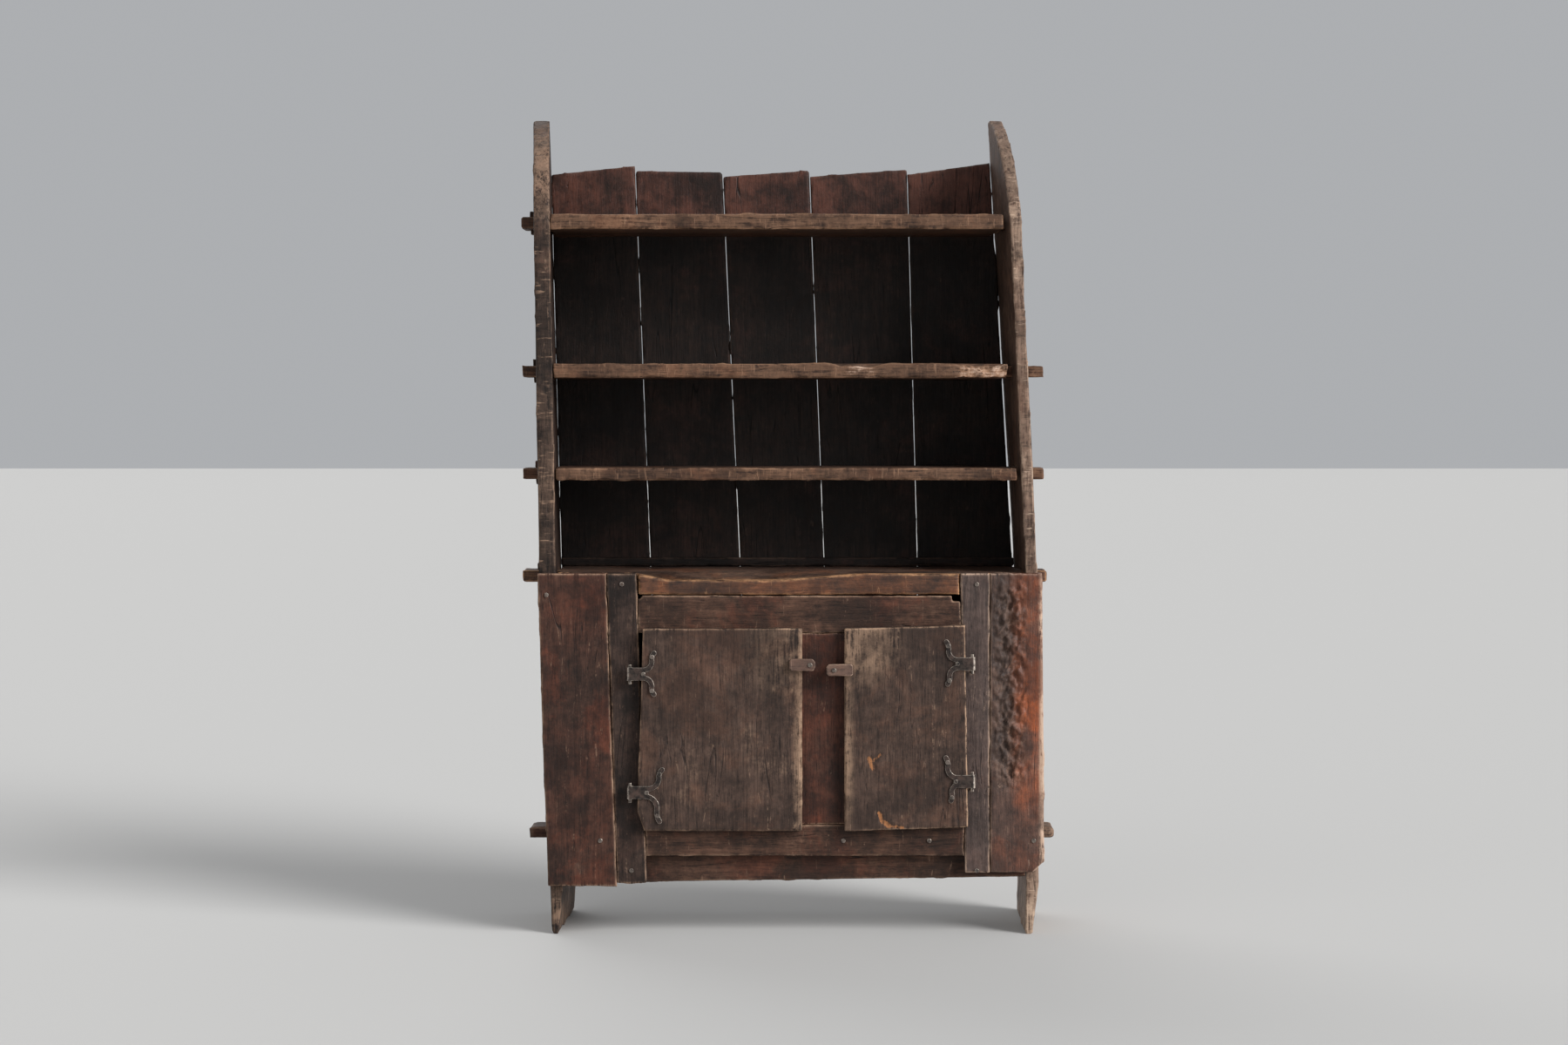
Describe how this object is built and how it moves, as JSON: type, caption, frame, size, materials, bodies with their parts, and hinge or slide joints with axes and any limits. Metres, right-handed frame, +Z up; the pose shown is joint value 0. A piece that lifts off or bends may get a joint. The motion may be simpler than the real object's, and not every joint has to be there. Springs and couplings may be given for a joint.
{
  "type": "storage cabinet",
  "caption": "Tall rustic plank dresser with open shelves between two side planks above a cupboard with hinged doors, forked iron straps and wooden turn buttons.",
  "frame": {"origin": "on the floor, at the middle of the overall width and depth", "axes": "+X to the viewer's right, +Y from the front into the depth, +Z up"},
  "size_m": [1.2735, 0.3944, 1.943],
  "materials": {
    "case_wood": "old, dark, dry and dusty",
    "shelf_wood": "old, dark, front edges worn lighter",
    "worn_wood": "old, rough, worn to orange brown",
    "door_wood": "old, greyed and dusty, worn pale at the edges",
    "peg_wood": "old, handled smooth",
    "wrought_iron": "hand forged, dark with rust"
  },
  "bodies": {
    "case": {"left_side_plank": "case_wood", "right_side_plank": "case_wood", "top_shelf": "shelf_wood", "middle_shelf": "shelf_wood", "lower_shelf": "shelf_wood", "worktop": "shelf_wood", "cupboard_floor": "case_wood", "back_board_1": "case_wood", "back_board_2": "case_wood", "back_board_3": "case_wood", "back_board_4": "case_wood", "back_board_5": "case_wood", "back_batten": "case_wood", "left_front_panel": "case_wood", "left_stile": "case_wood", "upper_rail": "case_wood", "middle_stile": "case_wood", "lower_rail": "case_wood", "bottom_strip": "case_wood", "right_stile": "worn_wood", "right_front_panel": "worn_wood", "left_upper_pintle": "wrought_iron", "left_lower_pintle": "wrought_iron", "right_upper_pintle": "wrought_iron", "right_lower_pintle": "wrought_iron", "button_nails": "wrought_iron", "tenon_wedges": "peg_wood", "front_nails": "wrought_iron", "back_nails": "wrought_iron"},
    "left_door": {"left_door": "door_wood", "left_upper_strap": "wrought_iron", "left_lower_strap": "wrought_iron", "left_strap_nails": "wrought_iron"},
    "right_door": {"right_door": "door_wood", "right_upper_strap": "wrought_iron", "right_lower_strap": "wrought_iron", "right_strap_nails": "wrought_iron"},
    "left_button": {"left_button": "peg_wood"},
    "right_button": {"right_button": "peg_wood"}
  },
  "joints": [
    {"name": "left_door_hinge", "type": "hinge", "parent": "case", "child": "left_door", "pos_m": [-0.36808, -0.17725, 0.4855], "axis": [0, 0, -1], "range_deg": [0, 170]},
    {"name": "right_door_hinge", "type": "hinge", "parent": "case", "child": "right_door", "pos_m": [0.42996, -0.17725, 0.4895], "axis": [0, 0, 1], "range_deg": [0, 170]},
    {"name": "left_button_turn", "type": "hinge", "parent": "case", "child": "left_button", "pos_m": [0.0515, -0.175, 0.638], "axis": [0, 1, 0], "range_deg": [-90, 90]},
    {"name": "right_button_turn", "type": "hinge", "parent": "case", "child": "right_button", "pos_m": [0.1075, -0.175, 0.626], "axis": [0, 1, 0], "range_deg": [-90, 90]}
  ]
}
